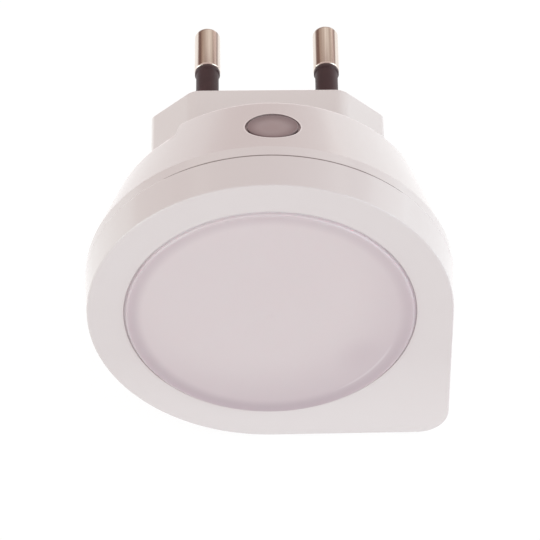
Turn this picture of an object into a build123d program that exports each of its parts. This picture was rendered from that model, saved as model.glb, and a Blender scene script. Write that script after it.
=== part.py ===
from build123d import *
from math import acos, atan, cos, degrees, radians, sin, sqrt
import os

os.makedirs("parts", exist_ok=True)

# Millimetres, +Z up, +Y into the wall. The origin is the centre of the plug's engagement face.
# Places along the body are depths behind the front face, and at(depth) turns one into a y.

# Outline and housing
body_depth = 41.0
outline_radius = 27.0
corner_radius = 4.9
smallest_corner = 1.2
base_rise = 0.35
seam_depth = 5.65
seam_gap = 0.12
crease_depth = 7.5
rim_depth = 21.5
rim_radius = 22.5
rim_corner = 4.0
rim_round = 0.5
rim_x = 0.35
rim_drop = 0.36
wall = 1.8

# Front bezel
bezel_draft = 0.3
bezel_round = 0.25
face_wall = 2.0
opening_radius = 21.3
opening_round = 0.15

# Diffuser lens and the rib that centres its flange
lens_gap = 0.3
lens_fit = 0.08
lens_groove = 0.2
lens_proud = 0.4
lens_dome = 0.15
lens_round = 0.25
lens_wall = 1.6
lens_seat_gap = 0.05
lens_flange_wall = 1.15
seat_rib_gap = 0.15
seat_rib_wall = 0.9
seat_rib_clear = 0.3
seat_rib_root = 0.2

# Tongue and snaps that join the bezel to the rear shell
tongue_fit = 0.2
tongue_wall = 1.2
tongue_height = 2.3
snap_length = 8.0
snap_bite = 0.7
snap_root = 0.6
snap_height = 0.8
snap_play = 0.2
snap_from_seam = 1.05
snap_slide = 13.0

# Reflector tray, light board and its lights
tray_play = 0.6
tray_wall = 1.0
tray_rim_width = 2.2
tray_screw_gap = 2.4
light_window_radius = 2.6
light_ring_radius = 9.0
light_count = 6
light_width = 3.5
light_height = 2.8
light_thick = 0.7
light_dish_radius = 1.15
light_dish_depth = 0.1
light_board_thick = 1.0

# Driver board, between the light board and the heads of the plug's screws
board_space = 1.8
board_head_clear = 1.5
board_margin = 2.2
driver_board_thick = 1.6
driver_board_top = 15.2

# Back wall, its recess inside the rim, and the finger notch in the rim
recess_depth = 2.3
back_wall = 2.2
lip_wall = 1.5
notch_depth = 3.6
notch_inward = 0.3
notch_start = 36.0
notch_span = 106.0
notch_round = 0.3

# Posts of the rear shell and the screws
post_inset = 2.5
post_angle = 46.0
post_radius = 2.2
shoulder_radius = 3.4
post_play = 0.3
boss_radius = 2.5
boss_angle = 136.0
screw_radius = 1.0
screw_head_radius = 1.8
screw_head_height = 1.2
screw_slot = 0.5
screw_play = 0.15
thread_fit = 0.02
light_screw_length = 6.0
driver_screw_length = 4.5
plug_screw_length = 3.4

# Plug body and its flange, its width taken over the two points before they are rounded
plug_width = 36.4
plug_height = 12.2
plug_flat = 22.8
plug_flat_round = 3.0
plug_side_round = 1.0
plug_end_round = 0.4
plug_wall = 1.8
plug_end_block = 8.0
plug_fit = 0.1
plug_screw_x = 16.4
plug_screw_z = 5.4
flange_edge = 3.2
flange_wall = 1.5
flange_round = 3.0

# Pins, sleeves and contact strips
pin_spacing = 18.4
pin_radius = 2.0
pin_length = 19.0
pin_metal_length = 8.9
pin_tip_round = 1.1
pin_foot_round = 0.2
pin_core_radius = 1.4
sleeve_radius = 1.75
sleeve_bury = 3.0
sleeve_fit = 0.02
collar_radius = 2.4
collar_height = 1.2
tail_radius = 0.9
rivet_radius = 1.4
rivet_height = 0.6
strip_thick = 0.4
strip_width = 3.0
strip_wall_gap = 0.4
strip_foot = 2.0
strip_play = 0.1

# Sensor window, light tube and light sensor
sensor_from_rim = 7.5
sensor_x = 0.5
sensor_recess_radius = 4.0
sensor_recess_deep = 0.55
window_radius = 3.55
window_fit = 0.1
window_wall = 1.0
window_dome = 0.35
window_flange_radius = 4.6
window_flange_wall = 0.7
land_wall = 1.25
tube_gap = 0.3
tube_length = 2.7
tube_radius = 2.9
tube_bore = 1.6
tube_leg_width = 1.2
tube_leg_thick = 0.6
tube_leg_reach = 2.0
tube_leg_root = 1.2
cell_radius = 1.5
cell_length = 3.6
cell_sunk = 0.9
cell_lead_spacing = 1.8

# Leads, and the parts on the driver board as (width, thickness, height) at (x, z)
lead_radius = 0.28
lead_play = 0.12
lead_out = 0.8
lead_root = 1.0
stand_off = 0.3
film_size = (11.0, 13.0, 6.0)
film_pitch = 7.5
film_round = 0.5
electrolytic_radius = 2.5
electrolytic_length = 11.0
electrolytic_x = 10.2
electrolytic_pitch = 2.0
electrolytic_round = 0.4
groove_place = 1.2
groove_width = 0.5
groove_deep = 0.25
fuse_radius = 1.5
fuse_length = 9.0
fuse_x = 11.0
fuse_pitch = 2.7
fuse_round = 0.5
side_parts_drop = 0.8
bridge_size = (4.7, 2.4, 3.8)
bridge_place = (6.2, -12.2)
zener_size = (4.3, 2.2, 2.6)
zener_place = (-6.2, -12.2)
chip_size = (4.9, 1.5, 3.8)
chip_place = (0.0, 10.0)
chip_foot = 0.5
chip_lift = 0.1
resistor_size = (1.3, 0.5, 2.0)
resistor_pitch = 2.8
resistor_first_x = 6.2
resistor_row_z = 11.4
header_size = (7.6, 2.4)
header_z = -12.2
header_pitch = 2.54
header_pin = 0.5
header_pin_short = 0.1

# Depths and radii that follow from the sizes above
shell_front = seam_depth + seam_gap
snap_depth = seam_depth - snap_from_seam
tongue_front = shell_front - tongue_height
tongue_radius = outline_radius - wall - tongue_fit
cavity_radius = tongue_radius - tongue_wall
lens_flange_depth = face_wall + lens_seat_gap
lens_flange_radius = cavity_radius - tray_play
tray_rim_depth = lens_flange_depth + lens_flange_wall
back_wall_depth = rim_depth - recess_depth
back_wall_inner = back_wall_depth - back_wall
flange_depth = back_wall_inner - flange_wall
driver_board_back = flange_depth - screw_head_height - board_head_clear
driver_board_depth = driver_board_back - driver_board_thick
light_board_back = driver_board_depth - board_space
light_board_depth = light_board_back - light_board_thick
tray_floor_depth = light_board_depth - tray_wall
sensor_depth = rim_depth - sensor_from_rim
end_block_inner = body_depth - plug_end_block
taper_slope = (outline_radius - rim_radius) / (rim_depth - crease_depth)
top_slope = (outline_radius - rim_radius + rim_drop) / (rim_depth - crease_depth)
top_angle = degrees(atan(top_slope))
side_wall = wall * sqrt(1 + taper_slope**2)
side_lip = lip_wall * sqrt(1 + taper_slope**2)
strip_rise = plug_height / 2 - plug_wall - strip_wall_gap - strip_thick / 2
past = 6.0  # how far a cut runs on beyond the surface it opens


def at(depth):
    return depth - body_depth


def facing(depth):
    """The plane at a depth that looks to the front: its x is X and its y is Z."""
    return Plane(origin=(0, at(depth), 0), x_dir=(1, 0, 0), z_dir=(0, -1, 0))


def prism(outline, front, back):
    """An outline run from one depth to a deeper one."""
    return extrude(facing(back) * outline, amount=back - front)


def rod(radius, front, back, x=0.0, z=0.0):
    return prism(Pos(x, z) * Circle(radius), front, back)


def block(width, height, front, back, x=0.0, z=0.0):
    return prism(Pos(x, z) * Rectangle(width, height), front, back)


def ring(outer, inner, front, back):
    return rod(outer, front, back) - rod(inner, front, back)


def on_ring(radius, angle):
    """The x and z of a place on a circle, its angle clockwise from the top."""
    return radius * sin(radians(angle)), radius * cos(radians(angle))


def flat_edges(solid, front, back=None):
    """The edges that lie wholly at one depth, or wholly between two."""
    near = 0.01
    return solid.edges().filter_by_position(Axis.Y, at(front) - near, at(back or front) + near)


def circles(edges, radius):
    return edges.filter_by(GeomType.CIRCLE).filter_by(lambda edge: abs(edge.radius - radius) < 0.01)


def drop_outline(radius, corner):
    """A circle whose lower right quarter is squared out to one rounded corner, on a slightly rising base."""
    corner = max(corner, smallest_corner)
    x = radius - corner
    z = base_rise - x
    tilt = degrees(atan(x / -z) - acos(x / sqrt(x**2 + z**2)))
    side = Line((radius, 0), (radius, z))
    turn = CenterArc((x, z), corner, 0, tilt - 90)
    round_side = CenterArc((0, 0), radius, 270 + tilt, -270 - tilt)
    base = Line(turn @ 1, round_side @ 0)
    return make_face(Wire([side, turn, base, round_side]))


def inset_outline(inset):
    """The housing's outline drawn in by an inset."""
    return drop_outline(outline_radius - inset, corner_radius - inset)


def taper_radius(depth):
    return outline_radius - (depth - crease_depth) * taper_slope


def taper_centre(depth):
    """The centre of the tapering part at a depth: it moves aside and down toward the rim."""
    run = (depth - crease_depth) / (rim_depth - crease_depth)
    return Pos(rim_x * run, -rim_drop * run)


def taper(inset, front, back):
    """The tapering part of the housing between two depths, drawn in by an inset."""
    faces = []
    for depth in (front, back):
        run = (depth - crease_depth) / (rim_depth - crease_depth)
        corner = corner_radius + (rim_corner - corner_radius) * run
        outline = drop_outline(taper_radius(depth) - inset, corner - inset)
        faces.append(facing(depth) * taper_centre(depth) * outline)
    return loft(faces, ruled=True)


def top_height(depth):
    """How high the tapering part's top is at a depth."""
    return taper_radius(depth) + taper_centre(depth).position.Y


def post_ring():
    """The radius on which the posts stand, just inside the shell's wall at the back wall."""
    return taper_radius(back_wall_inner) - side_wall - post_inset


def post_places():
    return [on_ring(post_ring(), angle) for angle in (-post_angle, post_angle, 180)]


def boss_places():
    return [on_ring(post_ring(), angle) for angle in (-boss_angle, boss_angle)]


def plug_screw_places():
    return [(x, z) for x in (-plug_screw_x, plug_screw_x) for z in (-plug_screw_z, plug_screw_z)]


def light_places():
    step = 360 / light_count
    return [on_ring(light_ring_radius, step * (i + 0.5)) for i in range(light_count)]


def header_pin_places():
    return [header_pitch * i for i in (-1, 0, 1)]


def snap_boxes(length, bite, root, height):
    """One box per snap, from a bite inside the skirt's inner face to a root within its wall."""
    reach = outline_radius - wall
    box = block(length, bite + root, snap_depth - height / 2, snap_depth + height / 2)
    places = [(-45, 0), (45, 0), (-135, 0), (90, snap_slide), (180, -snap_slide)]
    return [Rot(0, angle, 0) * Pos(slide, 0, reach + (root - bite) / 2) * box for angle, slide in places]


def front_bezel():
    front = facing(0) * drop_outline(outline_radius - bezel_draft, corner_radius - bezel_draft)
    seam = facing(seam_depth) * drop_outline(outline_radius, corner_radius)
    body = loft([front, seam], ruled=True)
    body = fillet(flat_edges(body, 0), bezel_round)
    body -= prism(inset_outline(wall), face_wall, seam_depth)
    body -= rod(opening_radius, 0, face_wall)
    body = fillet(circles(flat_edges(body, 0), opening_radius), opening_round)
    rib_inner = lens_flange_radius + seat_rib_gap
    body += ring(
        rib_inner + seat_rib_wall, rib_inner, face_wall - seat_rib_root, tongue_front - seat_rib_clear
    )
    for snap in snap_boxes(snap_length, snap_bite, snap_root, snap_height):
        body += snap
    return body


def diffuser_lens():
    """Stands proud of the face in a shallow groove, and is held by a flange behind the face's wall."""
    edge = opening_radius - lens_gap
    fitted = opening_radius - lens_fit
    flat = edge - lens_round
    top = -lens_proud - lens_dome
    inner = lens_wall - lens_proud
    dome = ThreePointArc((0, at(top)), (flat / 2, at(top + lens_dome / 4)), (flat, at(-lens_proud)))
    turn = CenterArc((flat, at(lens_round - lens_proud)), lens_round, -90, 90)
    inside = Polyline(
        (edge, at(lens_round - lens_proud)),
        (edge, at(lens_groove)),
        (fitted, at(lens_groove)),
        (fitted, at(lens_flange_depth)),
        (lens_flange_radius, at(lens_flange_depth)),
        (lens_flange_radius, at(tray_rim_depth)),
        (edge - lens_wall, at(tray_rim_depth)),
        (edge - lens_wall, at(inner)),
        (0, at(inner)),
        (0, at(top)),
    )
    return revolve(make_face(Wire([dome, turn, *inside.edges()])), Axis.Y)


def reflector_tray():
    """The cone-sided dish between the lens and the light board, with a hole over each light."""
    floor_radius = post_ring() - screw_head_radius - tray_screw_gap
    mouth_radius = lens_flange_radius - tray_rim_width
    slope = (mouth_radius - floor_radius) / (tray_floor_depth - tray_rim_depth)
    outward = tray_wall * (sqrt(1 + slope**2) - slope)
    rim_back = tray_rim_depth + tray_wall
    points = [
        (0, tray_floor_depth),
        (floor_radius, tray_floor_depth),
        (mouth_radius, tray_rim_depth),
        (lens_flange_radius, tray_rim_depth),
        (lens_flange_radius, rim_back),
        (mouth_radius + outward, rim_back),
        (floor_radius + outward, light_board_depth),
        (0, light_board_depth),
    ]
    outline = Polyline([(radius, at(depth)) for radius, depth in points], close=True)
    body = revolve(make_face(outline), Axis.Y)
    for x, z in light_places():
        body -= rod(light_window_radius, tray_floor_depth, light_board_depth, x, z)
    return body


def lights():
    front = light_board_depth - light_thick
    group = []
    for x, z in light_places():
        dish = rod(light_dish_radius, front, front + light_dish_depth, x, z)
        group.append(block(light_width, light_height, front, light_board_depth, x, z) - dish)
    return Compound(children=group)


def screw_holes(places, front, back):
    """Loose holes for screws, through a board or a flange."""
    return [rod(screw_radius + screw_play, front, back, x, z) for x, z in places]


def header_holes(front, back):
    size = header_pin + 2 * lead_play
    return [block(size, size, front, back, x, header_z) for x in header_pin_places()]


def light_board():
    board = rod(post_ring() + board_margin, light_board_depth, light_board_back)
    board -= screw_holes(post_places(), light_board_depth, light_board_back)
    return board - header_holes(light_board_depth, light_board_back)


def screw(x, z, seat, length):
    """A cross-headed screw whose head sits on a face at the seat depth and whose shank runs deeper."""
    front = seat - screw_head_height
    head = rod(screw_head_radius, front, seat, x, z)
    head = fillet(flat_edges(head, front), screw_head_height / 2)
    slot_back = seat - screw_head_height / 2
    slot = block(2 * screw_slot, screw_slot / 2, front, slot_back, x, z)
    slot += block(screw_slot / 2, 2 * screw_slot, front, slot_back, x, z)
    return head + rod(screw_radius, seat, seat + length, x, z) - slot


def screws(places, seat, length):
    return Compound(children=[screw(x, z, seat, length) for x, z in places])


def thread_holes(places, seat, thickness, length):
    """Blind holes for the stretch of each screw beyond what it clamps."""
    front = seat + thickness
    back = seat + length + thread_fit
    return [rod(screw_radius + thread_fit, front, back, x, z) for x, z in places]


def lead_places():
    """Where round leads pass through the driver board."""
    low = -side_parts_drop
    places = [(side * film_pitch / 2, 0) for side in (-1, 1)]
    places += [(electrolytic_x + side * electrolytic_pitch / 2, low) for side in (-1, 1)]
    return places + [(-fuse_x, low), (fuse_pitch - fuse_x, low)]


def driver_board():
    front = driver_board_depth
    back = driver_board_back
    radius = post_ring() + board_margin
    board = rod(radius, front, back)
    board -= block(2 * radius, radius, front, back, 0, driver_board_top + radius / 2)
    board -= [rod(post_radius + post_play, front, back, x, z) for x, z in post_places()]
    board -= screw_holes(boss_places(), front, back)
    board -= [rod(lead_radius + lead_play, front, back, x, z) for x, z in lead_places()]
    board -= header_holes(front, back)
    for side in (-1, 1):
        slot = (strip_width + 2 * strip_play, strip_thick + 2 * strip_play)
        board -= block(*slot, front, back, side * pin_spacing / 2, strip_rise)
        notch = (2 * (lead_radius + lead_play), 2 * (cell_sunk + lead_play))
        board -= block(*notch, front, back, sensor_x + side * cell_lead_spacing / 2, driver_board_top)
    return board


def lead(x, z, back):
    """A wire from a part down through the driver board and a little out of its front."""
    return rod(lead_radius, driver_board_depth - lead_out, back, x, z)


def film_capacitor():
    width, length, height = film_size
    front = driver_board_back + stand_off
    body = block(width, height, front, front + length)
    body = fillet(body.edges(), film_round)
    for side in (-1, 1):
        body += lead(side * film_pitch / 2, 0, front + lead_root)
    return body


def electrolytic_capacitor():
    x, z = electrolytic_x, -side_parts_drop
    front = driver_board_back + stand_off
    back = front + electrolytic_length
    body = rod(electrolytic_radius, front, back, x, z)
    body = fillet(flat_edges(body, back), electrolytic_round)
    groove = (front + groove_place, front + groove_place + groove_width, x, z)
    body -= rod(electrolytic_radius, *groove) - rod(electrolytic_radius - groove_deep, *groove)
    for side in (-1, 1):
        body += lead(x + side * electrolytic_pitch / 2, z, front + lead_root)
    return body


def fusible_resistor():
    """A resistor that stands on the board, its far lead bent back beside it."""
    x, z = -fuse_x, -side_parts_drop
    front = driver_board_back + stand_off
    back = front + fuse_length
    bend = back + lead_root
    body = rod(fuse_radius, front, back, x, z)
    body = fillet(body.edges().filter_by(GeomType.CIRCLE), fuse_round)
    body += lead(x, z, front + lead_root)
    body += rod(lead_radius, back - lead_root, bend + lead_radius, x, z)
    body += lead(x + fuse_pitch, z, bend + lead_radius)
    return body + Pos(x + fuse_pitch / 2, at(bend), z) * Rot(0, 90, 0) * Cylinder(lead_radius, fuse_pitch)


def on_board(size, place):
    """A box-shaped part soldered flat on the back of the driver board."""
    width, thick, height = size
    return block(width, height, driver_board_back, driver_board_back + thick, *place)


def with_feet(size, place, feet):
    """A flat chip on short feet along its two long sides."""
    width, thick, height = size
    x, z = place
    front = driver_board_back
    body = block(width, height, front + chip_lift, front + thick, x, z)
    for side in (-1, 1):
        for i in range(feet):
            foot_x = x + (i - (feet - 1) / 2) * width / feet
            foot_z = z + side * (height + chip_foot) / 2
            body += block(chip_foot, 2 * chip_foot, front, front + thick / 2, foot_x, foot_z)
    return body


def chip_resistors():
    row = [resistor_first_x, resistor_first_x + resistor_pitch]
    return Compound(
        children=[on_board(resistor_size, (side * x, resistor_row_z)) for side in (-1, 1) for x in row]
    )


def link_header():
    """The block between the two boards that carries their shared pins."""
    span = (light_board_back, driver_board_depth)
    body = block(*header_size, *span, 0, header_z)
    return body - [block(header_pin, header_pin, *span, x, header_z) for x in header_pin_places()]


def link_pins():
    span = (light_board_depth + header_pin_short, driver_board_back + lead_out)
    return Compound(children=[block(header_pin, header_pin, *span, x, header_z) for x in header_pin_places()])


def sensor_frame():
    """The plane at the window: its origin on the tapering wall and its z straight out of that wall."""
    out = (0, sin(radians(top_angle)), cos(radians(top_angle)))
    surface = (sensor_x, at(sensor_depth), top_height(sensor_depth))
    return Plane(origin=surface, x_dir=(1, 0, 0), z_dir=out)


def sensor_rod(radius, top, bottom):
    """A rod on the window's axis, between two heights above the wall's surface."""
    return extrude(sensor_frame() * Pos(0, 0, bottom) * Circle(radius), amount=top - bottom)


def sensor_window():
    base = -land_wall
    top = base + window_wall
    sphere_radius = (window_radius**2 + window_dome**2) / (2 * window_dome)
    sphere = sensor_frame() * Pos(0, 0, top + window_dome - sphere_radius) * Sphere(sphere_radius)
    body = sensor_rod(window_radius, top, base)
    body += sphere & sensor_rod(window_radius, top + window_dome, top)
    return body + sensor_rod(window_flange_radius, base, base - window_flange_wall)


def sensor_tube():
    """The tube that keeps the lamp's own light off the sensor, and the legs that grip the board's edge."""
    top = tube_top()
    bottom = top - tube_length
    leg_top = (sensor_frame() * Pos(0, 0, bottom)).position.Z + tube_leg_root
    leg_foot = driver_board_top - tube_leg_reach
    slot_front = driver_board_depth - strip_play
    slot_back = driver_board_back + strip_play
    slot_top = driver_board_top + strip_play
    body = sensor_rod(tube_radius, top, bottom)
    for side in (-1, 1):
        x = sensor_x + side * (tube_bore + tube_leg_width / 2 + strip_play)
        leg = block(
            tube_leg_width, leg_top - leg_foot, slot_front - tube_leg_thick, slot_back + tube_leg_thick,
            x, (leg_top + leg_foot) / 2,
        )
        leg -= block(tube_leg_width, slot_top - leg_foot, slot_front, slot_back, x, (slot_top + leg_foot) / 2)
        body += leg
    return body - sensor_rod(tube_bore, top, bottom - past)


def tube_top():
    return -land_wall - window_flange_wall - tube_gap


def light_sensor():
    """A domed sensor in the tube, its two leads soldered into notches in the board's top edge."""
    top = tube_top() - cell_sunk
    bottom = top - cell_length
    body = sensor_rod(cell_radius, top - cell_radius, bottom)
    body += sensor_frame() * Pos(0, 0, top - cell_radius) * Sphere(cell_radius)
    lead_top = (sensor_frame() * Pos(0, 0, bottom)).position.Z + lead_root / 2
    lead_foot = driver_board_top - cell_sunk
    middle = at((driver_board_depth + driver_board_back) / 2)
    for side in (-1, 1):
        place = Pos(sensor_x + side * cell_lead_spacing / 2, middle, (lead_top + lead_foot) / 2)
        body += place * Cylinder(lead_radius, lead_top - lead_foot)
    return body


def plug_outline(grow):
    """The six-sided plug outline, grown by a distance, its lengthwise edges rounded."""
    half_width = plug_width / 2
    half_height = plug_height / 2
    half_flat = plug_flat / 2
    right = [(half_flat, -half_height), (half_width, 0), (half_flat, half_height)]
    left = [(-x, -z) for x, z in right]
    outline = make_face(Polyline(right + left, close=True))
    by_width = outline.vertices().sort_by(Axis.X)
    outline = fillet([by_width[0], by_width[-1]], plug_side_round)
    flat_corners = outline.vertices().filter_by(lambda corner: abs(abs(corner.Y) - half_height) < 0.01)
    outline = fillet(flat_corners, plug_flat_round)
    return offset(outline, amount=grow) if grow else outline


def plug_body():
    body = prism(plug_outline(0), flange_depth, body_depth)
    body = fillet(flat_edges(body, body_depth), plug_end_round)
    flange_width = 2 * (plug_screw_x + flange_edge)
    flange_height = 2 * (plug_screw_z + flange_edge)
    body += prism(RectangleRounded(flange_width, flange_height, flange_round), flange_depth, back_wall_inner)
    body -= prism(plug_outline(-plug_wall), flange_depth, end_block_inner)
    body -= screw_holes(plug_screw_places(), flange_depth, back_wall_inner)
    for side in (-1, 1):
        x = side * pin_spacing / 2
        body -= rod(pin_core_radius + sleeve_fit, end_block_inner, body_depth, x)
        body -= rod(sleeve_radius + sleeve_fit, body_depth - sleeve_bury, body_depth, x)
    return body


def contact_pin(side):
    """A pin: bare tip, thinner core through sleeve and end block, collar behind it and riveted tail."""
    x = side * pin_spacing / 2
    tip = body_depth + pin_length
    metal = tip - pin_metal_length
    collar = end_block_inner - collar_height
    rivet = collar - strip_thick
    body = fillet(flat_edges(rod(pin_radius, metal, tip, x), tip), pin_tip_round)
    body = fillet(flat_edges(body, metal), pin_foot_round)
    body += rod(pin_core_radius, collar, metal, x)
    body += rod(collar_radius, collar, end_block_inner, x)
    body += rod(tail_radius, rivet, collar, x)
    return body + rod(rivet_radius, rivet - rivet_height, rivet, x)


def pin_sleeve(side):
    """The insulating tube from inside the plug body to the foot of the bare metal."""
    x = side * pin_spacing / 2
    front = body_depth - sleeve_bury
    back = body_depth + pin_length - pin_metal_length
    return rod(sleeve_radius, front, back, x) - rod(pin_core_radius + sleeve_fit, front, back, x)


def contact_strip(side):
    """The strip from a pin's tail, along the plug's top wall, down through the driver board."""
    x = side * pin_spacing / 2
    back = end_block_inner - collar_height
    front = back - strip_thick
    top = strip_rise + strip_thick / 2
    strip = block(strip_width, strip_thick, driver_board_depth - lead_out, back, x, strip_rise)
    strip += block(strip_width, top + strip_foot, front, back, x, (top - strip_foot) / 2)
    return strip - rod(tail_radius + sleeve_fit, front, back, x)


def notch_wedge():
    """The wedge, cut off just inside the rim, that lowers the rim over the finger notch."""
    start = 90 + notch_start
    steps = 4
    reach = 2 * outline_radius
    points = [(0, 0)]
    for i in range(steps + 1):
        angle = radians(start + notch_span * i / steps)
        points.append((reach * cos(angle), reach * sin(angle)))
    inner = taper_radius(back_wall_depth) - side_lip - notch_inward
    sector = make_face(Polyline(points, close=True)) - taper_centre(back_wall_depth) * Circle(inner)
    return prism(sector, rim_depth - notch_depth, rim_depth)


def finished_rim(shell):
    """The shell with its rim hollowed, lowered at the notch, and rounded there and all along outside."""
    shell -= taper(side_lip, back_wall_depth, rim_depth)
    shell -= notch_wedge()
    steps = flat_edges(shell, rim_depth - notch_depth, rim_depth).filter_by(GeomType.LINE)
    steps = steps.filter_by_position(Axis.X, -outline_radius, 0)
    across = steps.filter_by(lambda edge: abs(edge.tangent_at(0.5).Y) < 0.01 and edge.length > lip_wall)
    shell = fillet(across, notch_round)
    return fillet(circles(flat_edges(shell, rim_depth), rim_radius), rim_round)


def tongue():
    """The lip that stands into the bezel, with a window for each snap."""
    lip = prism(inset_outline(outline_radius - tongue_radius), tongue_front, shell_front)
    lip -= prism(inset_outline(outline_radius - cavity_radius), tongue_front, shell_front)
    return lip - snap_boxes(snap_length + 2 * snap_play, past / 2, snap_root, snap_height + 2 * snap_play)


def rear_shell():
    shell = prism(drop_outline(outline_radius, corner_radius), shell_front, rim_depth)
    shell &= taper(0, shell_front, rim_depth)
    shell = finished_rim(shell)
    cavity = prism(inset_outline(outline_radius - cavity_radius), shell_front, back_wall_inner)
    shell -= cavity & taper(side_wall, shell_front, back_wall_inner)
    shell += tongue()
    shell -= prism(plug_outline(plug_fit), back_wall_inner, back_wall_depth)
    shell += [rod(shoulder_radius, driver_board_back, back_wall_inner, x, z) for x, z in post_places()]
    shell += [rod(post_radius, light_board_back, driver_board_back, x, z) for x, z in post_places()]
    shell += [rod(boss_radius, driver_board_back, back_wall_inner, x, z) for x, z in boss_places()]
    shell -= thread_holes(post_places(), light_board_depth, light_board_thick, light_screw_length)
    shell -= thread_holes(boss_places(), driver_board_depth, driver_board_thick, driver_screw_length)
    shell -= thread_holes(plug_screw_places(), flange_depth, flange_wall, plug_screw_length)
    shell -= sensor_rod(sensor_recess_radius, past, -sensor_recess_deep)
    shell -= sensor_rod(window_radius + window_fit, past, -land_wall)
    return shell - sensor_rod(window_flange_radius + window_fit, -land_wall, -past)


nodes = {
    "front_bezel": front_bezel(),
    "diffuser_lens": diffuser_lens(),
    "reflector_tray": reflector_tray(),
    "lights": lights(),
    "light_board": light_board(),
    "light_board_screws": screws(post_places(), light_board_depth, light_screw_length),
    "link_header": link_header(),
    "link_pins": link_pins(),
    "driver_board": driver_board(),
    "driver_board_screws": screws(boss_places(), driver_board_depth, driver_screw_length),
    "film_capacitor": film_capacitor(),
    "electrolytic_capacitor": electrolytic_capacitor(),
    "fusible_resistor": fusible_resistor(),
    "bridge_rectifier": with_feet(bridge_size, bridge_place, 2),
    "zener_diode": on_board(zener_size, zener_place),
    "control_chip": with_feet(chip_size, chip_place, 4),
    "chip_resistors": chip_resistors(),
    "light_sensor": light_sensor(),
    "sensor_tube": sensor_tube(),
    "sensor_window": sensor_window(),
    "rear_shell": rear_shell(),
    "plug_body": plug_body(),
    "plug_screws": screws(plug_screw_places(), flange_depth, plug_screw_length),
}
for side, name in ((-1, "left"), (1, "right")):
    nodes[f"pin_{name}"] = contact_pin(side)
    nodes[f"pin_sleeve_{name}"] = pin_sleeve(side)
    nodes[f"contact_strip_{name}"] = contact_strip(side)

for name, shape in nodes.items():
    export_step(shape, f"parts/{name}.step")
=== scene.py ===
import math

import bmesh
import bpy
from mathutils import Matrix, Vector


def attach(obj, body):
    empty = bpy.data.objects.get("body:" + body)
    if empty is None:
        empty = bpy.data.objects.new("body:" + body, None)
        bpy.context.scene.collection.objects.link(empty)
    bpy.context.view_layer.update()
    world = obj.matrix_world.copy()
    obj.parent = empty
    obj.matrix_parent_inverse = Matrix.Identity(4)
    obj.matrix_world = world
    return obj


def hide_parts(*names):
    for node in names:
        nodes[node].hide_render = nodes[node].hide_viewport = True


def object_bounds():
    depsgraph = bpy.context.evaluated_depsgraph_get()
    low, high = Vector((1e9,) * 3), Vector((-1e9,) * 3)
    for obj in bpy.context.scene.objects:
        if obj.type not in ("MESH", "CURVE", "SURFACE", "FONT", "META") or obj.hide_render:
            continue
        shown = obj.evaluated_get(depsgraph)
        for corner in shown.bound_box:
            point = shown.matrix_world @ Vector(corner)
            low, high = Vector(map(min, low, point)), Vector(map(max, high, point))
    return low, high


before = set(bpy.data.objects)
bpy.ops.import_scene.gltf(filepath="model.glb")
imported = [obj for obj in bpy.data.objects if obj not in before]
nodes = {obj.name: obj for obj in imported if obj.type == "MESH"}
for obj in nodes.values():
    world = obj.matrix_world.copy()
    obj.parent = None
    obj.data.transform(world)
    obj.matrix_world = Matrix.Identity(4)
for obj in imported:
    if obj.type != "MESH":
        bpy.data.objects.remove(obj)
cadLow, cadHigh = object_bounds()
mm = 0.001
print("frame loaded,", len(nodes), "pieces")


# Shader nodes

def put(tree, kind, values=None, **settings):
    # A value is either a socket to link from or what the input is set to
    made = tree.nodes.new("ShaderNode" + kind)
    for name, value in settings.items():
        setattr(made, name, value)
    for key, value in (values or {}).items():
        socket = made.inputs[key]
        if isinstance(value, bpy.types.NodeSocket):
            tree.links.new(value, socket)
        else:
            socket.default_value = value
    return made


def place(tree, group, values):
    return put(tree, "Group", values, node_tree=group).outputs


def opaque(colour):
    return (*colour, 1.0)


def calculate(tree, operation, *values):
    return put(tree, "Math", dict(enumerate(values)), operation=operation).outputs[0]


def product(tree, first, *others):
    for other in others:
        first = calculate(tree, "MULTIPLY", first, other)
    return first


def remap(tree, value, low, high, toLow=0.0, toHigh=1.0, smooth=False):
    kind = "SMOOTHSTEP" if smooth else "LINEAR"
    values = {"Value": value, "From Min": low, "From Max": high, "To Min": toLow, "To Max": toHigh}
    return put(tree, "MapRange", values, interpolation_type=kind).outputs[0]


def blendColours(tree, share, first, second, way="MIX"):
    # Inputs 6 and 7 of the Mix node are its colours, and output 2 is the mixed one
    made = put(tree, "Mix", {0: share, 6: first, 7: second}, data_type="RGBA", blend_type=way)
    return made.outputs[2]


def vectors(tree, operation, *values):
    return put(tree, "VectorMath", dict(enumerate(values)), operation=operation).outputs


def noise(tree, where, scale, detail, roughness=0.5):
    values = {"Vector": where, "Scale": scale, "Detail": detail, "Roughness": roughness}
    return put(tree, "TexNoise", values).outputs[0]


def bump(tree, height, distance, **more):
    return put(tree, "Bump", {"Strength": 1.0, "Distance": distance, "Height": height, **more}).outputs[0]


def axes(tree, where):
    return list(put(tree, "SeparateXYZ", {0: where}).outputs)


def nearLine(tree, value, middle, outer, inner):
    # 1 within the inner distance of the middle, 0 beyond the outer one
    away = calculate(tree, "ABSOLUTE", calculate(tree, "SUBTRACT", value, middle))
    return remap(tree, away, outer, inner, smooth=True)


# Groups that the materials share

def newGroup(name, inputs, outputs):
    group = bpy.data.node_groups.new(name, "ShaderNodeTree")
    for label, (kind, value) in inputs.items():
        made = group.interface.new_socket(label, in_out="INPUT", socket_type="NodeSocket" + kind)
        if value is not None:
            made.default_value = value
    for label, kind in outputs.items():
        group.interface.new_socket(label, in_out="OUTPUT", socket_type="NodeSocket" + kind)
    given = group.nodes.new("NodeGroupInput").outputs
    wanted = group.nodes.new("NodeGroupOutput").inputs
    return group, given, wanted


def send(tree, wanted, **results):
    for label, socket in results.items():
        tree.links.new(socket, wanted[label])


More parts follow.
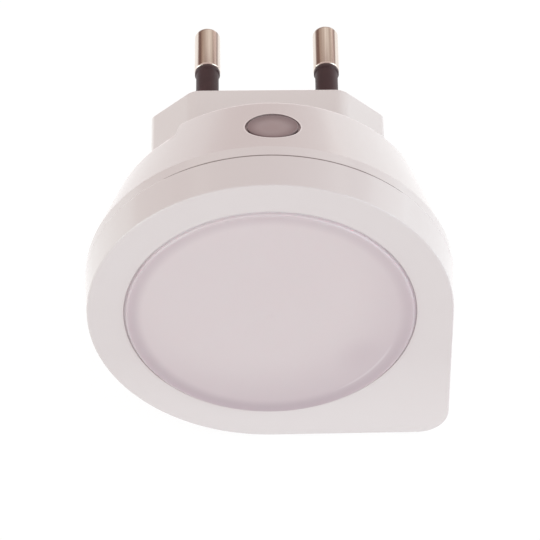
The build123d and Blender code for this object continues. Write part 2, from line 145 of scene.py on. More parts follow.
def unevenRoughness(group, given, pattern):
    swing = product(group, calculate(group, "SUBTRACT", pattern, 0.5), given["Roughness Spread"])
    return calculate(group, "ADD", given["Roughness"], swing)


surface = {"Colour": "Color", "Roughness": "Float", "Normal": "Vector"}


def makeMouldedSkin():
    # Cloudy tone, a soft waviness from the mould and a fine spark-eroded grain
    patchScale, waveScale = 420.0, 260.0
    inputs = {
        "Coordinates": ("Vector", None),
        "Colour": ("Color", (0.7, 0.7, 0.7, 1)),
        "Cloud Colour": ("Color", (0.65, 0.65, 0.65, 1)),
        "Cloud Scale": ("Float", 90.0),
        "Roughness": ("Float", 0.35),
        "Roughness Spread": ("Float", 0.06),
        "Wave Depth": ("Float", 0.00001),
        "Grain Scale": ("Float", 4500.0),
        "Grain Depth": ("Float", 0.000002),
    }
    group, given, wanted = newGroup("mouldedSkin", inputs, surface)
    where = given["Coordinates"]
    cloud = remap(group, noise(group, where, given["Cloud Scale"], detail=3.0), 0.3, 0.7)
    colour = blendColours(group, cloud, given["Colour"], given["Cloud Colour"])
    rough = unevenRoughness(group, given, noise(group, where, patchScale, detail=3.0))
    wave = noise(group, where, waveScale, detail=1.0)
    grain = noise(group, where, given["Grain Scale"], detail=2.0)
    soft = bump(group, wave, given["Wave Depth"])
    fine = bump(group, grain, given["Grain Depth"], Normal=soft)
    send(group, wanted, Colour=colour, Roughness=rough, Normal=fine)
    return group


def makeDrawnMetal():
    # Fine lines along the way the metal was drawn or rolled, and faint handling marks across them
    markScale = 900.0
    inputs = {
        "Coordinates": ("Vector", None),
        "Colour": ("Color", (0.7, 0.7, 0.7, 1)),
        "Line Colour": ("Color", (0.6, 0.6, 0.6, 1)),
        "Stretch": ("Vector", (1.0, 0.04, 1.0)),
        "Line Scale": ("Float", 6000.0),
        "Roughness": ("Float", 0.25),
        "Roughness Spread": ("Float", 0.12),
        "Line Depth": ("Float", 0.000003),
    }
    group, given, wanted = newGroup("drawnMetal", inputs, surface)
    along = vectors(group, "MULTIPLY", given["Coordinates"], given["Stretch"])[0]
    lines = noise(group, along, given["Line Scale"], detail=3.0, roughness=0.6)
    marks = noise(group, given["Coordinates"], markScale, detail=3.0, roughness=0.6)
    colour = blendColours(group, remap(group, lines, 0.35, 0.7), given["Colour"], given["Line Colour"])
    rough = unevenRoughness(group, given, product(group, calculate(group, "ADD", lines, marks), 0.5))
    send(group, wanted, Colour=colour, Roughness=rough, Normal=bump(group, lines, given["Line Depth"]))
    return group


def makeRoundMask():
    # 0 within the inner distance from a centre, 1 beyond the outer one
    inputs = {
        "Coordinates": ("Vector", None),
        "Centre": ("Vector", (0.0, 0.0, 0.0)),
        "Squash": ("Vector", (1.0, 0.0, 1.0)),
        "Inner": ("Float", 0.01),
        "Outer": ("Float", 0.02),
    }
    group, given, wanted = newGroup("roundMask", inputs, {"Mask": "Float"})
    away = vectors(group, "SUBTRACT", given["Coordinates"], given["Centre"])[0]
    flat = vectors(group, "MULTIPLY", away, given["Squash"])[0]
    reach = vectors(group, "LENGTH", flat)["Value"]
    send(group, wanted, Mask=remap(group, reach, given["Inner"], given["Outer"], smooth=True))
    return group


def makeEdgeMask():
    # 0 on plain surfaces, 1 where the surface turns within the given reach
    almostFlat = 0.995
    inputs = {"Reach": ("Float", 0.0002), "Sharp": ("Float", 0.9)}
    group, given, wanted = newGroup("edgeMask", inputs, {"Mask": "Float"})
    turned = put(group, "Bevel", {"Radius": given["Reach"]}, samples=8).outputs[0]
    plain = put(group, "NewGeometry").outputs["Normal"]
    alike = vectors(group, "DOT_PRODUCT", turned, plain)["Value"]
    send(group, wanted, Mask=remap(group, alike, almostFlat, given["Sharp"], smooth=True))
    return group


mouldedSkin = makeMouldedSkin()
drawnMetal = makeDrawnMetal()
roundMask = makeRoundMask()
edgeMask = makeEdgeMask()
print("shader groups made")


# Materials

def newMaterial(name, group, finish, edge=None, marks=None, **constants):
    # finish sets the group, edge paints a highlight where the surface turns, marks paints on its colour, and the
    # constants go on the shader itself
    material = bpy.data.materials.new(name)
    material.use_nodes = True
    tree = material.node_tree
    tree.nodes.clear()
    where = put(tree, "TexCoord").outputs["Object"]
    look = place(tree, group, {"Coordinates": where, **finish})
    colour = look["Colour"]
    if edge:
        # Painted highlight: a lighter colour where the surface turns
        turned = place(tree, edgeMask, {"Reach": edge["reach"], "Sharp": edge["sharp"]})["Mask"]
        colour = blendColours(tree, product(tree, turned, edge["strength"]), colour, edge["colour"])
    if marks:
        colour = marks(tree, where, colour)
    values = {label.replace("_", " "): value for label, value in constants.items()}
    values.update({"Base Color": colour, "Roughness": look["Roughness"], "Normal": look["Normal"]})
    shader = put(tree, "BsdfPrincipled", values)
    put(tree, "OutputMaterial", {"Surface": shader.outputs[0]})
    return material


def plastic(name, finish, **more):
    return newMaterial(name, mouldedSkin, finish, **more)


def metal(name, finish, **more):
    return newMaterial(name, drawnMetal, finish, Metallic=1.0, **more)


def dress(name, material):
    piece = nodes[name]
    if not piece.material_slots:
        piece.data.materials.append(material)
    for slot in piece.material_slots:
        slot.material = material


# Meshes

softEdge = {"width": 0.05 * mm, "segments": 2, "angle": 50}


def newPiece(name, shape, smooth=True):
    bmesh.ops.recalc_face_normals(shape, faces=shape.faces)
    for face in shape.faces:
        face.smooth = smooth
    mesh = bpy.data.meshes.new(name)
    shape.to_mesh(mesh)
    shape.free()
    piece = bpy.data.objects.new(name, mesh)
    bpy.context.scene.collection.objects.link(piece)
    return piece


def lathe(name, profile, around, closed=False):
    # Turns a profile of (radius, y) about the Y axis. A radius of 0 ends it in one point,
    # and a closed profile leaves the axis free
    shape = bmesh.new()
    steps = [2 * math.pi * i / around for i in range(around)]
    rings = []
    for radius, y in profile:
        turns = steps if radius else steps[:1]
        rings.append([shape.verts.new((radius * math.sin(a), y, radius * math.cos(a))) for a in turns])
    for one, two in zip(rings, rings[1:] + rings[:1] if closed else rings[1:]):
        for i in range(around):
            j = (i + 1) % around
            corners = [one[i % len(one)], one[j % len(one)], two[j % len(two)], two[i % len(two)]]
            shape.faces.new(list(dict.fromkeys(corners)))
    return newPiece(name, shape)


def quarterTurn(steps, first=1):
    # Sines and cosines of a quarter turn. Its first point is left out where the profile has it already
    angles = [math.pi / 2 * i / steps for i in range(first, steps + 1)]
    return [(math.sin(angle), math.cos(angle)) for angle in angles]


def softenEdges(piece):
    bevel = piece.modifiers.new("soft edges", "BEVEL")
    bevel.width, bevel.segments = softEdge["width"], softEdge["segments"]
    bevel.angle_limit = math.radians(softEdge["angle"])
    bevel.harden_normals = False


# Housing: front bezel and rear shell. The face is at y = -41 mm, and the plug's end at y = 0

housing = {
    "finish": {
        "Colour": opaque((0.690, 0.650, 0.646)),
        "Cloud Colour": opaque((0.684, 0.641, 0.636)),
        "Cloud Scale": 70.0,
        "Roughness": 0.17,
        "Roughness Spread": 0.02,
        "Wave Depth": 0.0000025,
        "Grain Depth": 0.0000004,
    },
    # Painted highlight along the housing's turned edges: reach, sharpness, strength and colour
    "edge": {"reach": 0.16 * mm, "sharp": 0.9, "strength": 0.8, "colour": opaque((0.86, 0.82, 0.815))},
    # Painted highlight lines on the rounded rear rim and its lowered stretch: y, half width, and the x where they
    # end
    "rimHighlightLines": ((-19.75 * mm, 0.2 * mm, 40 * mm), (-23.275 * mm, 0.175 * mm, -14.2 * mm)),
    "rimCore": 0.4,
    "rimFade": 0.6 * mm,
    "rimStrength": 0.8,
    "rimColour": opaque((0.92, 0.87, 0.865)),
    # Painted light: the lower part of the face is a little lighter
    "lowHeight": (-8 * mm, -27 * mm),
    "lowDepth": (-39.5 * mm, -40.5 * mm),
    "lowColour": opaque((0.755, 0.715, 0.710)),
    # Painted shade in the upper part of the seam gap, with outer and inner half widths and where it fades
    "seam": -35.29 * mm,
    "seamShadeWidths": (0.17 * mm, 0.05 * mm),
    "seamShadeLeft": (-15.8 * mm, -9 * mm),
    "seamShadeRight": (19.2 * mm, 13 * mm),
    "seamShadeHeight": (5 * mm, 10 * mm),
    "seamShadeStrength": 0.75,
    "seamShadeColour": opaque((0.30, 0.235, 0.225)),
    # The round recess of the sensor window: a painted highlight on its lip around painted shade in the groove
    "recess": {"Centre": (0.5 * mm, -27 * mm, 0), "Squash": (1, 1.058, 0)},
    "recessRadius": 3.96 * mm,
    "lipRadius": 4.16 * mm,
    "recessSoft": 0.12 * mm,
    "recessHeight": (20 * mm, 21 * mm),
    "lipHighlightStrength": 0.7,
    "grooveShadeColour": opaque((0.40, 0.33, 0.335)),
}


def housingMarks(tree, where, colour):
    x, y, z = axes(tree, where)
    # Painted highlight along the rim and its lowered stretch
    for middle, half, end in housing["rimHighlightLines"]:
        line = nearLine(tree, y, middle, half, half * housing["rimCore"])
        ahead = remap(tree, x, end, end - housing["rimFade"])
        colour = blendColours(tree, product(tree, line, ahead, housing["rimStrength"]), colour, housing["rimColour"])
    # Painted light on the lower part of the face
    low = product(tree, remap(tree, z, *housing["lowHeight"]), remap(tree, y, *housing["lowDepth"]))
    colour = blendColours(tree, low, colour, housing["lowColour"])
    # Painted shade along the upper part of the seam
    seamShade = nearLine(tree, y, housing["seam"], *housing["seamShadeWidths"])
    for part, ends in ((x, "seamShadeLeft"), (x, "seamShadeRight"), (z, "seamShadeHeight")):
        seamShade = product(tree, seamShade, remap(tree, part, *housing[ends]))
    colour = blendColours(tree, product(tree, seamShade, housing["seamShadeStrength"]), colour, housing["seamShadeColour"])
    beyond = []
    for radius in (housing["recessRadius"], housing["lipRadius"]):
        reach = {"Inner": radius, "Outer": radius + housing["recessSoft"]}
        beyond.append(place(tree, roundMask, {"Coordinates": where, **housing["recess"], **reach})["Mask"])
    upper = remap(tree, z, *housing["recessHeight"])
    # Painted highlight on the lip of the recess
    lip = product(tree, calculate(tree, "SUBTRACT", *beyond), upper, housing["lipHighlightStrength"])
    colour = blendColours(tree, lip, colour, housing["edge"]["colour"])
    # Painted shade in the groove of the recess
    groove = product(tree, calculate(tree, "SUBTRACT", 1.0, beyond[0]), upper)
    return blendColours(tree, groove, colour, housing["grooveShadeColour"])


housingWhite = plastic("housing_white", housing["finish"], edge=housing["edge"], marks=housingMarks, IOR=1.5)
dress("front_bezel", housingWhite)
dress("rear_shell", housingWhite)
print("housing dressed")


# The tongue that shows in the seam at both sides. Its arcs and fade are in degrees from the top

tongue = {
    "outer": 26.97 * mm,
    "deep": 26.2 * mm,
    "inner": 25.9 * mm,
    "front": -35.345 * mm,
    "back": -35.235 * mm,
    "arcs": {"left": (-112, -26), "right": (37, 112)},
    "fade": 8,
    "steps": 60,
}


def seamTongue(name, start, end):
    shape = bmesh.new()
    inner, front, back = tongue["inner"], tongue["front"], tongue["back"]
    rings = []
    for i in range(tongue["steps"] + 1):
        angle = start + (end - start) * i / tongue["steps"]
        rise = min(1.0, (angle - start) / tongue["fade"], (end - angle) / tongue["fade"])
        outer = tongue["deep"] + (tongue["outer"] - tongue["deep"]) * rise
        across, up = math.sin(math.radians(angle)), math.cos(math.radians(angle))
        corners = ((inner, front), (outer, front), (outer, back), (inner, back))
        rings.append([shape.verts.new((radius * across, y, radius * up)) for radius, y in corners])
    for one, two in zip(rings, rings[1:]):
        for i, j in ((0, 1), (1, 2), (2, 3), (3, 0)):
            shape.faces.new((one[i], one[j], two[j], two[i]))
    shape.faces.new(rings[0])
    shape.faces.new(rings[-1])
    return newPiece(name, shape, smooth=False)


for side, arc in tongue["arcs"].items():
    piece = seamTongue("seam_tongue_" + side, *arc)
    piece.data.materials.append(housingWhite)
    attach(piece, "root")
print("seam tongues made")


# Plug body

plug = {
    "finish": {
        "Colour": opaque((0.715, 0.678, 0.670)),
        "Cloud Colour": opaque((0.707, 0.670, 0.662)),
        "Cloud Scale": 80.0,
        "Roughness": 0.34,
        "Roughness Spread": 0.05,
        "Wave Depth": 0.00001,
        "Grain Depth": 0.000002,
    },
    # Painted highlight along the plug's turned edges
    "edge": {"reach": 0.35 * mm, "sharp": 0.93, "strength": 0.7, "colour": opaque((0.86, 0.84, 0.83))},
    "leftPoint": (-17.15 * mm, -17.5 * mm),  # painted highlight on the left point of its six sides
    "pointHighlightStrength": 0.8,
}


def plugMarks(tree, where, colour):
    # Painted highlight on the left point of its six sides
    point = remap(tree, axes(tree, where)[0], *plug["leftPoint"], smooth=True)
    return blendColours(tree, product(tree, point, plug["pointHighlightStrength"]), colour, plug["edge"]["colour"])


dress("plug_body", plastic("plug_white", plug["finish"], edge=plug["edge"], marks=plugMarks, IOR=1.5))
print("plug body dressed")


# Diffuser lens

lens = {
    "face": -41.0 * mm,
    "proud": 0.4 * mm,
    "edgeRadius": 21.0 * mm,
    "edgeRound": 0.25 * mm,
    "dome": 0.12 * mm,
    "groove": 0.12 * mm,
    "fittedRadius": 21.28 * mm,
    "flangeRadius": 23.2 * mm,
    "flangeDepth": 2.05 * mm,
    "rimDepth": 3.2 * mm,
    "wall": 1.6 * mm,
    "gateRadius": 0.42 * mm,
    "gateTop": 0.8,
    "gateHeight": 0.03 * mm,
    "around": 192,
    "domeSteps": 40,
    "edgeSteps": 8,
    "finish": {
        "Colour": opaque((0.682, 0.618, 0.626)),
        "Cloud Colour": opaque((0.677, 0.611, 0.618)),
        "Cloud Scale": 60.0,
        "Roughness": 0.38,
        "Wave Depth": 0.000008,
        "Grain Depth": 0.000001,
    },
    "milk": {"Subsurface_Weight": 0.6, "Subsurface_Scale": 0.002, "Subsurface_Radius": (1.0, 0.8, 0.85)},
    # Painted shade and highlight on the front: centre (x, z), inner and outer radius in millimetres
    "soft": ((-3, 6), 14, 27),
    "shadowSpot": ((14.9, -9.6), 6.2, 1),
    "arcRings": (((0, 0), 18.55, 18.8), ((0, 0), 18.9, 19.15)),
    "arcPlace": ((14.6, -11.9), 8, 3),
    "band": ((0, 0.3), 18.4, 20.2),
    "side": ((0, 0), 20.9, 20.98),
    "lowColour": opaque((0.600, 0.527, 0.548)),
    "arcStrength": 0.65,
    "arcHighlightColour": opaque((0.74, 0.70, 0.71)),
    # Painted shade on the band and painted light on the side, with colours that change with the height, from the
    # first z to the second
    "bandHeight": (19 * mm, -19 * mm),
    "bandColours": (opaque((0.600, 0.530, 0.548)), opaque((0.500, 0.425, 0.456))),
    "sideHeight": (9 * mm, 17 * mm),
    "sideColours": (opaque((0.68, 0.59, 0.62)), opaque((0.76, 0.685, 0.707))),
}


def lensProfile():
    edge, turn, dome = lens["edgeRadius"], lens["edgeRound"], lens["dome"]
    face, gate = lens["face"], lens["gateRadius"]
    flat = edge - turn
    shoulder = face - lens["proud"]
    top = shoulder - dome
    gateTop = top - lens["gateHeight"]
    points = [(0, gateTop), (gate * lens["gateTop"], gateTop), (gate, top)]
    for i in range(1, lens["domeSteps"] + 1):
        radius = gate + (flat - gate) * i / lens["domeSteps"]
        points.append((radius, top + dome * (radius / flat) ** 2))
    points += [(flat + turn * s, shoulder + turn - turn * c) for s, c in quarterTurn(lens["edgeSteps"])]
    return points + [
        (edge, face + lens["groove"]),
        (lens["fittedRadius"], face + lens["groove"]),
        (lens["fittedRadius"], face + lens["flangeDepth"]),
        (lens["flangeRadius"], face + lens["flangeDepth"]),
        (lens["flangeRadius"], face + lens["rimDepth"]),
        (edge - lens["wall"], face + lens["rimDepth"]),
        (edge - lens["wall"], shoulder + lens["wall"]),
        (0, shoulder + lens["wall"]),
    ]


def lensMarks(tree, where, colour):
    def shade(centre, inner, outer):
        x, z = centre
        reach = {"Centre": (x * mm, 0, z * mm), "Inner": inner * mm, "Outer": outer * mm}
        return place(tree, roundMask, {"Coordinates": where, **reach})["Mask"]

    # Painted shade towards the lower right, and a painted shadow spot there
    colour = blendColours(tree, shade(*lens["soft"]), colour, lens["lowColour"])
    colour = blendColours(tree, shade(*lens["shadowSpot"]), colour, lens["lowColour"])
    inner, outer = lens["arcRings"]
    # A painted highlight along an arc at the lower right
    ring = calculate(tree, "SUBTRACT", shade(*inner), shade(*outer))
    arc = product(tree, ring, shade(*lens["arcPlace"]), lens["arcStrength"])
    colour = blendColours(tree, arc, colour, lens["arcHighlightColour"])
    # Painted shade on the band near the rim, and painted light on the side wall, lighter towards the top
    height = axes(tree, where)[2]
    for part in ("band", "side"):
        tone = blendColours(tree, remap(tree, height, *lens[part + "Height"]), *lens[part + "Colours"])
        colour = blendColours(tree, shade(*lens[part]), colour, tone)
    return colour


diffuser = lathe("diffuser_lens_milky", lensProfile(), lens["around"])
diffuser.data.materials.append(plastic("lens_milk", lens["finish"], marks=lensMarks, IOR=1.5, **lens["milk"]))
softenEdges(diffuser)
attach(diffuser, "root")
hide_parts("diffuser_lens")
print("diffuser lens made")


# Sensor window. Its heights are along the way it faces, from its centre

window = {
    "centre": (0.5 * mm, -26.868 * mm, 24.698 * mm),
    "outward": (0.0, 0.3279, 0.9447),
    "radius": 3.66 * mm,
    "edge": -0.1 * mm,
    "edgeRound": 0.16 * mm,
    "dome": 0.12 * mm,
    "shoulder": -0.48 * mm,
    "neckRadius": 3.5 * mm,
    "neckEnd": -1.25 * mm,
    "flangeRadius": 4.6 * mm,
    "flangeEnd": -1.95 * mm,
    "around": 96,
    "domeSteps": 12,
    "edgeSteps": 6,
    "finish": {
        "Colour": opaque((0.368, 0.302, 0.305)),
        "Cloud Colour": opaque((0.372, 0.292, 0.294)),
        "Cloud Scale": 300.0,
        "Roughness": 0.24,
        "Wave Depth": 0.000004,
        "Grain Depth": 0.0000005,
    },
    # Painted shade, darker towards its rim
    "rim": {
        "Centre": (0.4 * mm, -27.6 * mm, 0),
        "Squash": (1.0, 1.15, 0.0),
        "Inner": 1.6 * mm,
        "Outer": 4.3 * mm,
    },
    "rimColour": opaque((0.205, 0.143, 0.147)),
}


def windowProfile():
    radius, turn, edge, dome = window["radius"], window["edgeRound"], window["edge"], window["dome"]
    flat, steps = radius - turn, window["domeSteps"]
    points = [(0, edge + dome)]
    points += [(flat * i / steps, edge + dome * (1 - (i / steps) ** 2)) for i in range(1, steps + 1)]
    points += [(flat + turn * s, edge - turn + turn * c) for s, c in quarterTurn(window["edgeSteps"])]
    return points + [
        (radius, window["shoulder"]),
        (window["neckRadius"], window["shoulder"]),
        (window["neckRadius"], window["neckEnd"]),
        (window["flangeRadius"], window["neckEnd"]),
        (window["flangeRadius"], window["flangeEnd"]),
        (0, window["flangeEnd"]),
    ]


def windowMarks(tree, where, colour):
    # Painted shade towards the window's rim
    rim = place(tree, roundMask, {"Coordinates": where, **window["rim"]})["Mask"]
    return blendColours(tree, rim, colour, window["rimColour"])


cover = lathe("sensor_window_smoked", windowProfile(), window["around"])
turned = Vector((0, 1, 0)).rotation_difference(Vector(window["outward"])).to_matrix().to_4x4()
cover.data.transform(Matrix.Translation(window["centre"]) @ turned)
cover.data.materials.append(
    plastic("sensor_smoke", window["finish"], marks=windowMarks, IOR=1.49, Specular_IOR_Level=0.15)
)
softenEdges(cover)
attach(cover, "root")
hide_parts("sensor_window")
print("sensor window made")


# Pins

pin = {
    "apart": 18.4 * mm,
    "radius": 2.0 * mm,
    "foot": 10.1 * mm,
    "footRound": 0.2 * mm,
    "tips": {"left": 18.7 * mm, "right": 19.0 * mm},
    "tipRound": 1.1 * mm,
    "coreRadius": 1.4 * mm,
    "collarRadius": 2.4 * mm,
    "collar": (-9.2 * mm, -8.0 * mm),
    "tailRadius": 0.9 * mm,
    "rivet": (-10.2 * mm, -9.6 * mm),
    "around": 96,
    "footSteps": 8,
    "tipSteps": 16,
    "finish": {
        "Colour": opaque((0.72, 0.64, 0.58)),
        "Line Colour": opaque((0.60, 0.52, 0.46)),
        "Stretch": (1.0, 0.02, 1.0),
        "Line Scale": 3200.0,
        "Roughness": 0.2,
        "Roughness Spread": 0.12,
        "Line Depth": 0.000002,
    },
    # Painted reflections: dark and light tones from left to right, in millimetres from the axis. Each pin's are
    # shifted towards the other one
    "toneShift": 0.1 * mm,
    "tones": [
        (-1.56, (1.0, 1.0, 1.0)),
        (-1.39, (0.34, 0.265, 0.235)),
        (-1.16, (0.38, 0.29, 0.25)),
        (-0.96, (0.42, 0.33, 0.29)),
        (-0.55, (0.54, 0.48, 0.45)),
        (-0.20, (0.70, 0.66, 0.64)),
        (0.06, (0.90, 0.89, 0.88)),
        (0.42, (0.84, 0.83, 0.82)),
        (0.76, (0.56, 0.51, 0.49)),
        (1.14, (0.88, 0.85, 0.84)),
        (1.34, (0.48, 0.43, 0.42)),
        (1.48, (0.50, 0.45, 0.44)),
        (1.60, (1.0, 1.0, 1.0)),
    ],
    # Painted highlight on the metal's foot ring, fading out between these heights above the foot
    "footLine": (0.32 * mm, 0.22 * mm),
    "footColour": opaque((0.76, 0.68, 0.62)),
}


def pinProfile(tip):
    core, outer, tail, foot = pin["coreRadius"], pin["radius"], pin["tailRadius"], pin["foot"]
    rivetLow, rivetHigh = pin["rivet"]
    collarLow, collarHigh = pin["collar"]
    points = [
        (0, rivetLow), (core, rivetLow), (core, rivetHigh), (tail, rivetHigh),
        (tail, collarLow), (pin["collarRadius"], collarLow), (pin["collarRadius"], collarHigh),
        (core, collarHigh), (core, foot),
    ]
    turn = pin["footRound"]
    points += [(outer - turn + turn * s, foot + turn - turn * c) for s, c in quarterTurn(pin["footSteps"], 0)]
    turn = pin["tipRound"]
    points += [(outer - turn + turn * c, tip - turn + turn * s) for s, c in quarterTurn(pin["tipSteps"], 0)]
    return points + [(0, tip)]


def nickelPin(side, middle):
    def marks(tree, where, colour):
        x, y = axes(tree, where)[:2]
        # Painted reflections across the pin
        across = remap(tree, x, middle - pin["radius"], middle + pin["radius"])
        ramp = put(tree, "ValToRGB", {0: across})
        stops = ramp.color_ramp.elements
        for i, (offset, tone) in enumerate(pin["tones"]):
            stop = stops[i] if i < 2 else stops.new(1.0)  # a new ramp has two stops
            stop.position, stop.color = 0.5 + offset * mm / pin["radius"] / 2, opaque(tone)
        colour = blendColours(tree, 1.0, colour, ramp.outputs[0], way="MULTIPLY")
        # Painted highlight on the foot ring
        high, low = pin["footLine"]
        foot = remap(tree, y, pin["foot"] + high, pin["foot"] + low, smooth=True)
        return blendColours(tree, foot, colour, pin["footColour"])

    return metal("pin_nickel_" + side, pin["finish"], marks=marks)


# Pin sleeves

sleeve = {
    "radius": 1.75 * mm,
    "bury": 3.0 * mm,
    "bore": 1.4 * mm,
    "lipRadius": 1.94 * mm,
    "lipFoot": 9.5 * mm,
    "lipSlope": 0.15 * mm,
    "play": 0.01 * mm,
    "around": 96,
    "finish": {
        "Colour": opaque((0.056, 0.028, 0.030)),
        "Cloud Colour": opaque((0.046, 0.023, 0.025)),
        "Cloud Scale": 500.0,
        "Roughness": 0.42,
        "Roughness Spread": 0.1,
        "Grain Depth": 0.000004,
    },
}
sleeveDark = plastic("sleeve_dark", sleeve["finish"], IOR=1.5, Specular_IOR_Level=0.3)


def sleeveProfile():
    radius, bore, lip, foot = sleeve["radius"], sleeve["bore"], sleeve["lipRadius"], sleeve["lipFoot"]
    top = pin["foot"] - sleeve["play"]
    return [
        (bore, -sleeve["bury"]), (radius, -sleeve["bury"]), (radius, foot - sleeve["lipSlope"]),
        (lip, foot), (lip, top), (bore, top),
    ]


for side, way in (("left", -1), ("right", 1)):
    x = way * pin["apart"] / 2
    prong = lathe("pin_" + side + "_turned", pinProfile(pin["tips"][side]), pin["around"])
    prong.data.materials.append(nickelPin(side, x - way * pin["toneShift"]))
    cuff = lathe("pin_sleeve_" + side + "_lipped", sleeveProfile(), sleeve["around"], closed=True)
    cuff.data.materials.append(sleeveDark)
    for piece, node, slot in ((prong, "pin_" + side, "pin_nickel"), (cuff, "pin_sleeve_" + side, "sleeve_dark")):
        piece.data.transform(Matrix.Translation((x, 0, 0)))
        softenEdges(piece)
        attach(piece, "root")
        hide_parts(node)
print("pins and sleeves made")


# Inside: tray, boards, lights, electronic parts, screws and strips

# Colour, second colour, roughness and the pieces that have them
insidePlastics = {
    "tray_white": ((0.83, 0.83, 0.82), (0.80, 0.80, 0.79), 0.4, ["reflector_tray"]),
    "board_white": ((0.79, 0.79, 0.76), (0.72, 0.72, 0.69), 0.45, ["light_board"]),
    "board_green": ((0.010, 0.075, 0.022), (0.016, 0.11, 0.034), 0.4, ["driver_board"]),
    "light_face": ((0.84, 0.66, 0.17), (0.80, 0.58, 0.12), 0.5, ["lights"]),
    "part_black": (
        (0.012, 0.012, 0.013), (0.018, 0.018, 0.020), 0.5,
        ["link_header", "bridge_rectifier", "zener_diode", "control_chip", "chip_resistors", "sensor_tube"],
    ),
    "film_case": ((0.48, 0.34, 0.033), (0.44, 0.30, 0.028), 0.45, ["film_capacitor"]),
    "can_sleeve": ((0.010, 0.013, 0.022), (0.014, 0.018, 0.030), 0.35, ["electrolytic_capacitor"]),
    "fuse_body": ((0.26, 0.48, 0.39), (0.22, 0.42, 0.34), 0.6, ["fusible_resistor"]),
    "sensor_clear": ((0.60, 0.63, 0.67), (0.56, 0.60, 0.64), 0.15, ["light_sensor"]),
}
insideMetals = {
    "steel": (
        (0.55, 0.56, 0.57), (0.45, 0.46, 0.47), 0.32,
        ["light_board_screws", "driver_board_screws", "plug_screws"],
    ),
    "strip_brass": (
        (0.70, 0.50, 0.20), (0.60, 0.42, 0.16), 0.3,
        ["contact_strip_left", "contact_strip_right"],
    ),
    "pin_tin": ((0.72, 0.72, 0.70), (0.62, 0.62, 0.61), 0.3, ["link_pins"]),
}
insideSkin = {"Cloud Scale": 400.0, "Grain Depth": 0.000003}

for name, (colour, cloud, rough, parts) in insidePlastics.items():
    finish = {"Colour": opaque(colour), "Cloud Colour": opaque(cloud), "Roughness": rough, **insideSkin}
    material = plastic(name, finish, IOR=1.5)
    for part in parts:
        dress(part, material)
for name, (colour, line, rough, parts) in insideMetals.items():
    material = metal(name, {"Colour": opaque(colour), "Line Colour": opaque(line), "Roughness": rough})
    for part in parts:
        dress(part, material)
print("inside dressed")


# Floor, light and camera

studio = {
    "floorSize": 40.0,
    "floorColour": opaque((0.86, 0.85, 0.845)),
    "floorGlow": 0.88,
    "floorWhite": 1.06,
    "floorShine": 1.27,
    "roomColour": opaque((1.0, 0.810, 0.800)),
    "roomLevel": 0.665,
    "lampAim": (0.0, -0.02, 0.0),
}
lamps = {
    "left_panel": {"at": (-0.885, -0.467, 0.139), "size": (1.75, 0.5), "glow": 2.70, "colour": (0.790, 1.0, 0.975)},
    "right_high": {"at": (0.819, -0.239, 0.530), "size": (0.95, 0.5), "glow": 2.50, "colour": (0.715, 0.994, 1.0)},
    "right_front": {"at": (0.700, -0.720, 0.139), "size": (1.05, 0.5), "glow": 1.15, "colour": (0.740, 0.800, 1.0)},
    "right_side": {"at": (0.990, -0.020, 0.139), "size": (0.5, 0.5), "glow": 1.15, "colour": (0.830, 1.0, 0.990)},
    "right_rear": {"at": (0.858, 0.475, 0.139), "size": (0.5, 0.5), "glow": 0.80, "colour": (0.870, 1.0, 0.990)},
    "right_back": {"at": (0.495, 0.838, 0.139), "size": (0.5, 0.5), "glow": 0.35, "colour": (1.0, 0.93, 0.85)},
    "back_panel": {"at": (0.0, 0.828, 0.530), "size": (1.4, 0.5), "glow": 0.57, "colour": (0.913, 1.0, 0.885)},
}
view = {"aim": (0.0, -0.03628, 0.00447), "elevation": 46.54, "turn": -0.60, "distance": 0.53495, "lens": 245.4}
white = (1, 1, 1, 1)


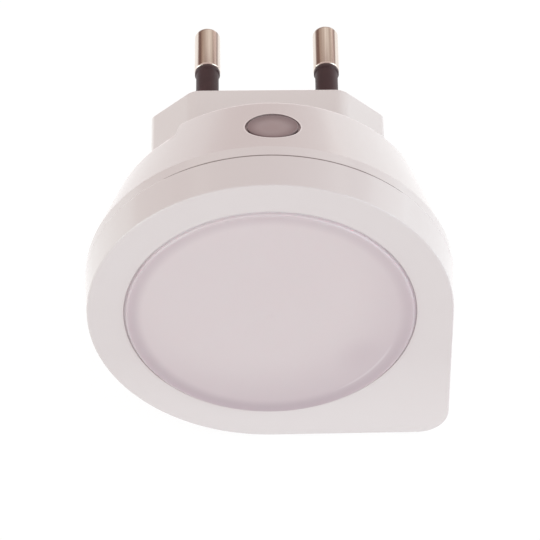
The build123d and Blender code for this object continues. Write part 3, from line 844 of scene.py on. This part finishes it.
def layFloor():
    # Things that look at the floor see it glow, and it takes light and shadow as a matt surface
    half, z = studio["floorSize"] / 2, cadLow.z
    mesh = bpy.data.meshes.new("floor")
    corners = [(-half, -half, z), (half, -half, z), (half, half, z), (-half, half, z)]
    mesh.from_pydata(corners, [], [(0, 1, 2, 3)])
    floor = bpy.data.objects.new("floor", mesh)
    bpy.context.scene.collection.objects.link(floor)
    material = bpy.data.materials.new("floor_white")
    material.use_nodes = True
    tree = material.node_tree
    tree.nodes.clear()
    path = put(tree, "LightPath").outputs
    seen = calculate(tree, "MAXIMUM", path["Is Camera Ray"], path["Is Glossy Ray"])
    seen = calculate(tree, "MAXIMUM", seen, path["Is Transmission Ray"])
    shine = remap(tree, path["Is Camera Ray"], 0.0, 1.0, studio["floorShine"], studio["floorWhite"])
    matt = put(tree, "BsdfDiffuse", {"Color": studio["floorColour"]})
    glow = put(tree, "Emission", {"Color": white, "Strength": shine})
    share = product(tree, seen, studio["floorGlow"])
    both = put(tree, "MixShader", {0: share, 1: matt.outputs[0], 2: glow.outputs[0]})
    put(tree, "OutputMaterial", {"Surface": both.outputs[0]})
    mesh.materials.append(material)


def lightRoom():
    # A warm room lights the lamp, and the background itself is white
    world = bpy.data.worlds.new("room")
    bpy.context.scene.world = world
    world.use_nodes = True
    tree = world.node_tree
    tree.nodes.clear()
    room = put(tree, "Background", {"Color": studio["roomColour"], "Strength": studio["roomLevel"]})
    back = put(tree, "Background", {"Color": white, "Strength": 1.0})
    path = put(tree, "LightPath").outputs
    both = put(tree, "MixShader", {0: path["Is Camera Ray"], 1: room.outputs[0], 2: back.outputs[0]})
    put(tree, "OutputWorld", {"Surface": both.outputs[0]})


def hangLamps():
    for name, lamp in lamps.items():
        light = bpy.data.lights.new(name, "AREA")
        light.shape = "RECTANGLE"
        light.size, light.size_y = lamp["size"]
        light.energy = math.pi * light.size * light.size_y * lamp["glow"]  # the same glow at any size
        light.color = lamp["colour"]
        holder = bpy.data.objects.new(name, light)
        holder.location = lamp["at"]
        toward = Vector(studio["lampAim"]) - holder.location
        holder.rotation_mode = "QUATERNION"
        holder.rotation_quaternion = toward.to_track_quat("-Z", "Y")
        holder.visible_camera = False
        bpy.context.scene.collection.objects.link(holder)


def setCamera():
    lean, turn = math.radians(view["elevation"]), math.radians(view["turn"])
    back = Vector((math.sin(turn) * math.cos(lean), -math.cos(turn) * math.cos(lean), math.sin(lean)))
    data = bpy.data.cameras.new("eye")
    data.lens = view["lens"]
    eye = bpy.data.objects.new("eye", data)
    eye.location = Vector(view["aim"]) + back * view["distance"]
    eye.rotation_mode = "QUATERNION"
    eye.rotation_quaternion = back.to_track_quat("Z", "Y")
    bpy.context.scene.collection.objects.link(eye)
    bpy.context.scene.camera = eye


layFloor()
lightRoom()
hangLamps()
setCamera()
bpy.context.scene.view_settings.view_transform = "Standard"
print("floor, light and camera set")
